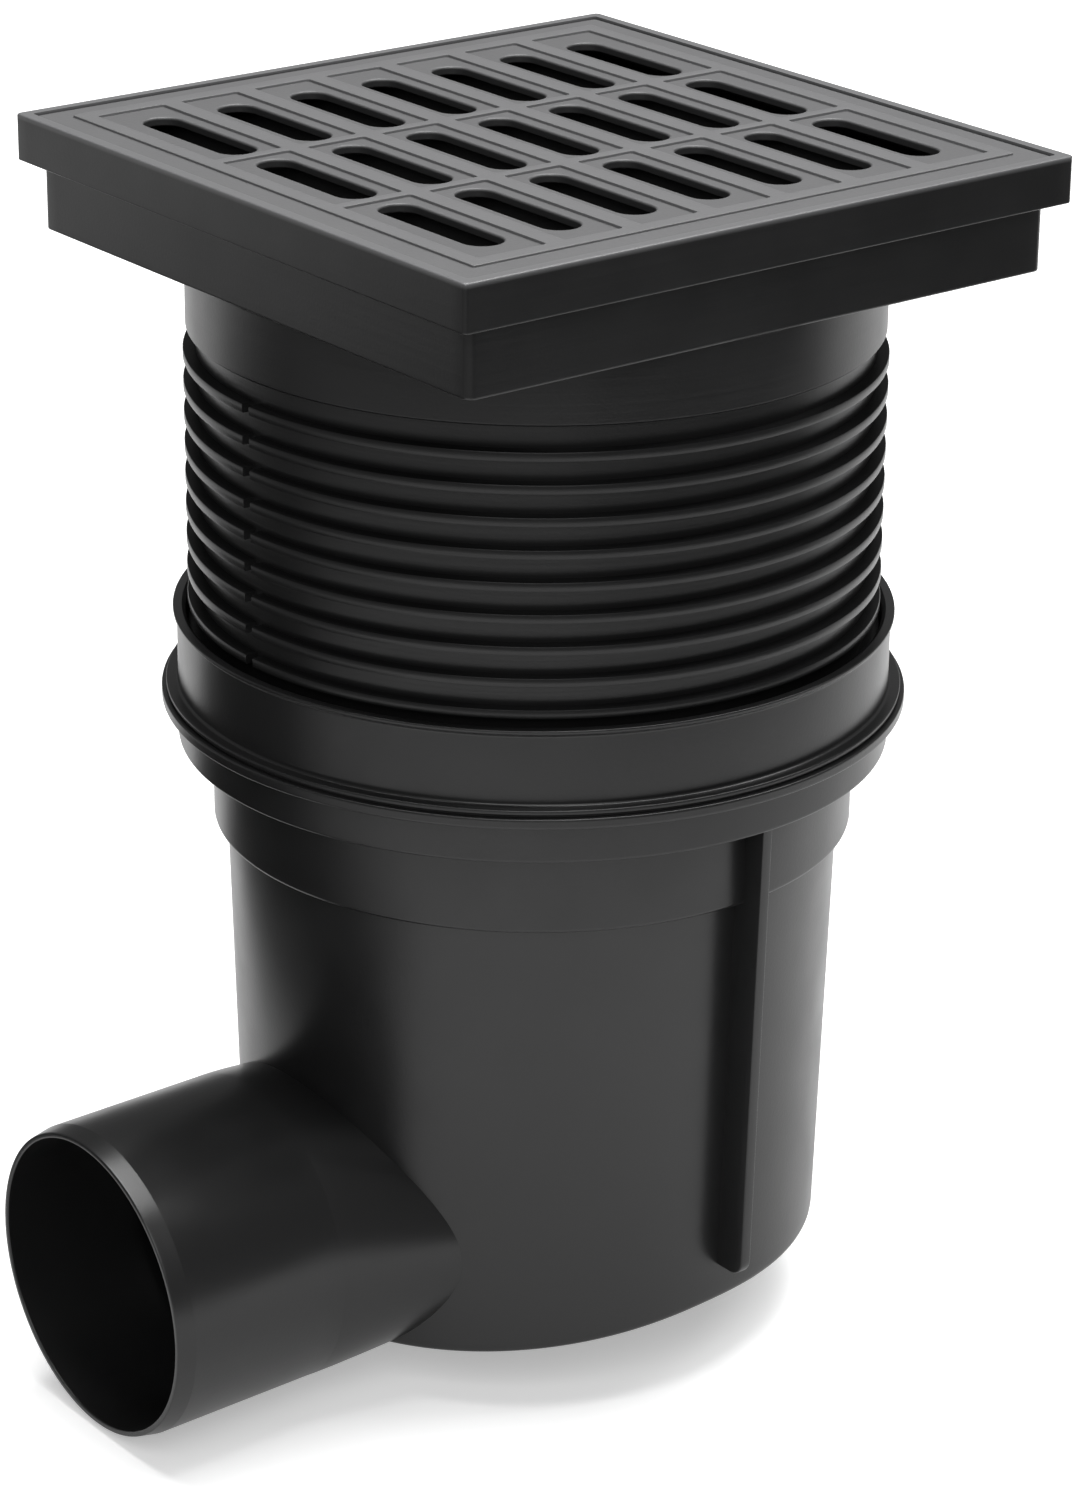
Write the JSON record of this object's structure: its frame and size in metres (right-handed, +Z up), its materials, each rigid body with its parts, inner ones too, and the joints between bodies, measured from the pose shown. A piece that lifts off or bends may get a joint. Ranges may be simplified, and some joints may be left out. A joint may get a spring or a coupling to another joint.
{
  "type": "gully trap",
  "caption": "Floor gully with a square slotted grate on a height-adjustable ribbed riser, clamping collar, tapered sump with silt basket and side outlet with flap trap.",
  "frame": {"origin": "centre of the foot under the sump, on the sump's axis", "axes": "+Z up along the sump's axis, outlet towards -X, grate's sides along X and Y"},
  "size_m": [0.318, 0.2572, 0.427],
  "materials": {
    "body_plastic": "satin moulded polypropylene",
    "riser_plastic": "satin moulded polypropylene",
    "grate_plastic": "fine grained polypropylene",
    "collar_plastic": "satin moulded polypropylene",
    "seal_rubber": "soft black rubber",
    "inner_plastic": "dark grey polypropylene",
    "steel_wire": "drawn stainless wire"
  },
  "bodies": {
    "sump": {"sump": "body_plastic", "collar": "collar_plastic", "flange_gasket": "seal_rubber", "silt_bucket": "inner_plastic", "flap_seat": "inner_plastic", "flap_pin": "steel_wire"},
    "seal": {"riser_seal": "seal_rubber"},
    "riser": {"riser": "riser_plastic", "grate": "grate_plastic"},
    "handle": {"bucket_handle": "steel_wire"},
    "flap": {"flap": "inner_plastic", "flap_seal": "seal_rubber"}
  },
  "joints": [
    {"name": "riser_height", "type": "slide", "parent": "sump", "child": "seal", "axis": [0, 0, 1], "range_m": [0, 0.025]},
    {"name": "riser_turn", "type": "hinge", "parent": "seal", "child": "riser", "pos_m": [0, 0, 0], "axis": [0, 0, 1], "continuous": true},
    {"name": "handle_swing", "type": "hinge", "parent": "sump", "child": "handle", "pos_m": [0, 0, 0.19386], "axis": [1, 0, 0], "range_deg": [0, 180]},
    {"name": "flap_swing", "type": "hinge", "parent": "sump", "child": "flap", "pos_m": [-0.13438, 0, 0.09726], "axis": [0, 1, 0], "range_deg": [0, 35]}
  ]
}
